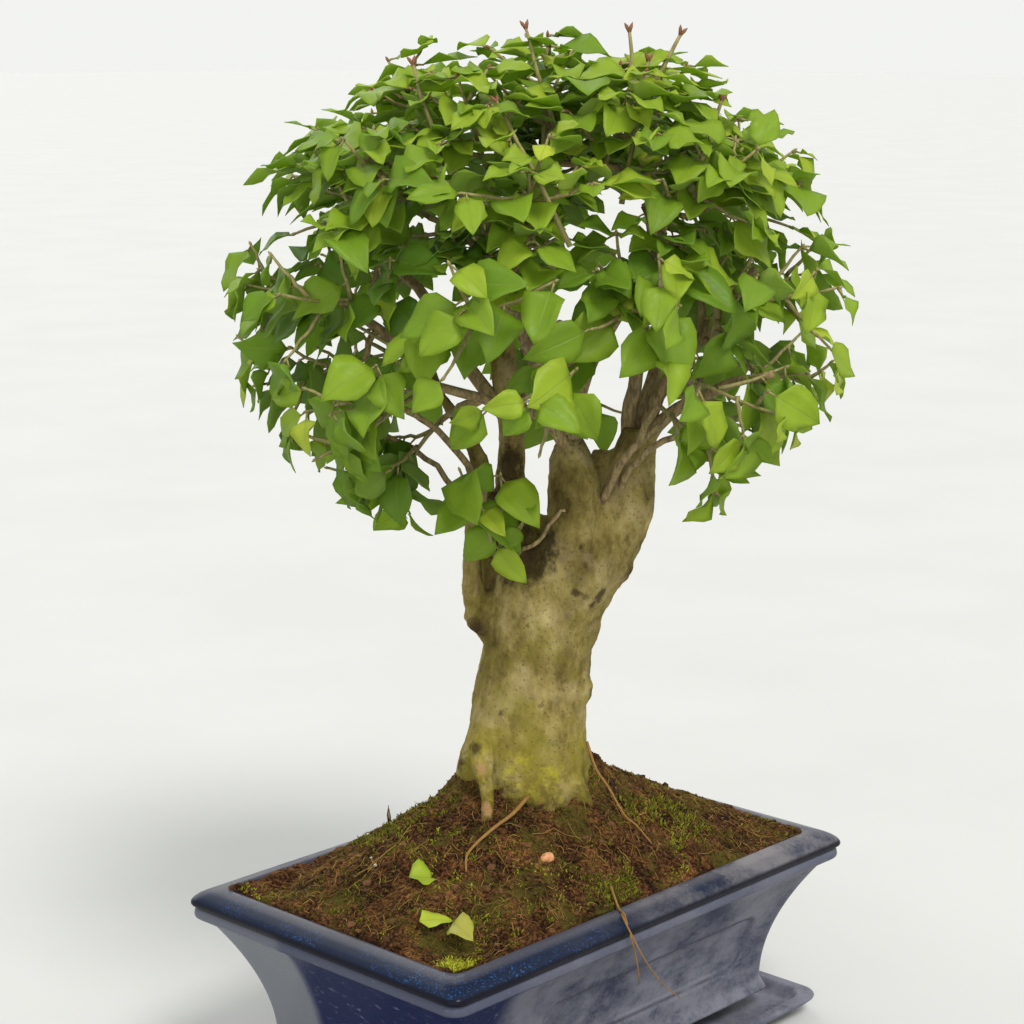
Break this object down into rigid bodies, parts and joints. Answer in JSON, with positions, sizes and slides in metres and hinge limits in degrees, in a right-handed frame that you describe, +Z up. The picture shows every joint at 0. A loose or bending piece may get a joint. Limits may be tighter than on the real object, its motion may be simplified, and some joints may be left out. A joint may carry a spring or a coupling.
{
  "type": "bonsai tree in a pot",
  "caption": "Privet bonsai with a thick forked trunk and a round leafy crown, in a glazed rectangular pot of soil on its saucer.",
  "frame": {"origin": "centre of the saucer's flat underside", "axes": "+Z up; +X along the pot's long side, so that the corner seen nearest points to -X and -Y"},
  "size_m": [0.2088, 0.2153, 0.3552],
  "materials": {
    "glaze": "gloss",
    "soil": "matte",
    "bark": "matte",
    "leaf": "satin",
    "moss": "matte",
    "fallen_leaf_green": "satin",
    "fallen_leaf_yellow": "satin",
    "drain_screen": "matte",
    "pebble": "matte"
  },
  "bodies": {
    "root": {"drain_screen_left": "drain_screen", "drain_screen_right": "drain_screen", "fallen_leaf_dark": "fallen_leaf_green", "fallen_leaf_green": "fallen_leaf_green", "fallen_leaf_yellow": "fallen_leaf_yellow", "leaf_spray_01": "leaf", "leaf_spray_02": "leaf", "leaf_spray_03": "leaf", "leaf_spray_04": "leaf", "leaf_spray_05": "leaf", "leaf_spray_06": "leaf", "leaf_spray_07": "leaf", "leaf_spray_08": "leaf", "leaf_spray_09": "leaf", "leaf_spray_10": "leaf", "leaf_spray_11": "leaf", "leaf_spray_12": "leaf", "leaf_spray_13": "leaf", "leaf_spray_14": "leaf", "leaf_spray_15": "leaf", "leaf_spray_16": "leaf", "leaf_spray_17": "leaf", "leaf_spray_18": "leaf", "leaf_spray_19": "leaf", "leaf_spray_20": "leaf", "leaf_spray_21": "leaf", "leaf_spray_22": "leaf", "leaf_spray_23": "leaf", "leaf_spray_24": "leaf", "leaf_spray_25": "leaf", "leaf_spray_26": "leaf", "leaf_spray_27": "leaf", "leaf_spray_28": "leaf", "leaf_spray_29": "leaf", "leaf_spray_30": "leaf", "leaf_spray_31": "leaf", "leaf_spray_32": "leaf", "leaf_spray_33": "leaf", "leaf_spray_34": "leaf", "leaf_spray_35": "leaf", "leaf_spray_36": "leaf", "leaf_spray_37": "leaf", "leaf_spray_trunk": "leaf", "moss_rim_corner": "moss", "moss_trunk_front": "moss", "moss_trunk_left": "moss", "moss_trunk_right": "moss", "pebble": "pebble", "pot": "glaze", "saucer": "glaze", "soil": "soil", "wood": "bark"}
  },
  "joints": []
}
